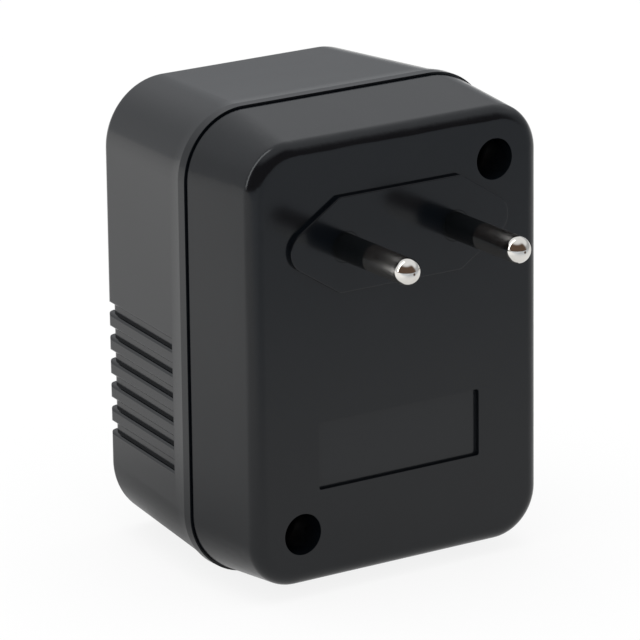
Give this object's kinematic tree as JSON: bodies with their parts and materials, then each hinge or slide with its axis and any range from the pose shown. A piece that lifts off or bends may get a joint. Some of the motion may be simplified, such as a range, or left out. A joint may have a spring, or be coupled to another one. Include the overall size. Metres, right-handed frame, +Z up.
{
  "type": "travel voltage converter",
  "caption": "Block-shaped travel voltage converter: round plug pins on a raised front plate, a flat-blade outlet behind, finger grooves on its sides and a step-down transformer inside.",
  "frame": {"origin": "point on the outer face of the plug plate midway between the two plug pins", "axes": "-Y points out of the front along the plug pins, +Y runs back through the case to the outlet face, +Z is up, towards the case's top with the plug plate in the upper half, and +X is to the right as seen from the pin side"},
  "size_m": [0.053, 0.061, 0.0704],
  "materials": {
    "case_plastic": "satin black moulded plastic with a fine grain",
    "nickel_plate": "bright nickel plating",
    "sleeve_plastic": "smooth black insulation",
    "screw_steel": "zinc-plated steel",
    "brass_strip": "plain rolled strip",
    "core_steel": "varnished transformer sheet",
    "bobbin_nylon": "natural nylon",
    "enamelled_wire": "clear enamel over copper",
    "coil_tape": "yellow film tape",
    "fuse_metal": "bare metal can and wires",
    "shrink_tube": "heat-shrunk tube",
    "lead_insulation": "smooth soft insulation",
    "retainer_board": "brown fibre board",
    "pad_foam": "closed-cell foam"
  },
  "bodies": {
    "root": {"case_screws": "screw_steel", "coil_bobbin": "bobbin_nylon", "contact_retainer": "retainer_board", "core_e_stack": "core_steel", "core_i_stack": "core_steel", "core_pad_left": "pad_foam", "core_pad_right": "pad_foam", "front_cover": "case_plastic", "fuse_lead": "lead_insulation", "fuse_sleeve": "shrink_tube", "input_lead_left": "lead_insulation", "input_lead_right": "lead_insulation", "outer_tape": "coil_tape", "outlet_contact_left": "brass_strip", "outlet_contact_right": "brass_strip", "output_lead_left": "lead_insulation", "output_lead_right": "lead_insulation", "pin_sleeve_left": "sleeve_plastic", "pin_sleeve_right": "sleeve_plastic", "pin_tag_left": "brass_strip", "pin_tag_right": "brass_strip", "plug_pin_left": "nickel_plate", "plug_pin_right": "nickel_plate", "primary_winding": "enamelled_wire", "rear_casing": "case_plastic", "retainer_screw": "screw_steel", "secondary_winding": "enamelled_wire", "thermal_fuse": "fuse_metal", "winding_insulation": "coil_tape"}
  },
  "joints": []
}
